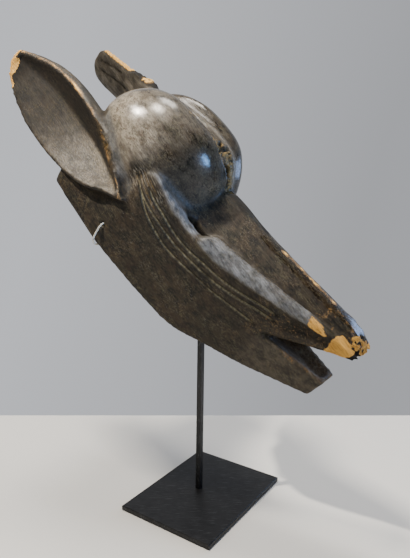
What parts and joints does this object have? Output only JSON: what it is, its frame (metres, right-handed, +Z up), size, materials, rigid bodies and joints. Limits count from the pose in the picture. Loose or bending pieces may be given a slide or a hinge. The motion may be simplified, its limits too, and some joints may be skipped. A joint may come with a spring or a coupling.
{
  "type": "hyena mask",
  "caption": "Carved wooden animal face mask with domed forehead, leaf-shaped ears, long open muzzle and scored cheeks, held snout down on a square steel rod and plate.",
  "frame": {"origin": "centre of the stand plate's underside", "axes": "+Z up, +X the way the snout points, +Y towards the animal's left ear"},
  "size_m": [0.4228, 0.1703, 0.5442],
  "materials": {
    "carved_wood": "dark worn patina with a soft sheen, pale bare wood where it has broken",
    "cotton_string": "undyed twisted cotton",
    "blackened_steel": "satin black"
  },
  "bodies": {
    "root": {"mask": "carved_wood", "tie_string": "cotton_string", "stand_rod": "blackened_steel", "stand_plate": "blackened_steel"}
  },
  "joints": []
}
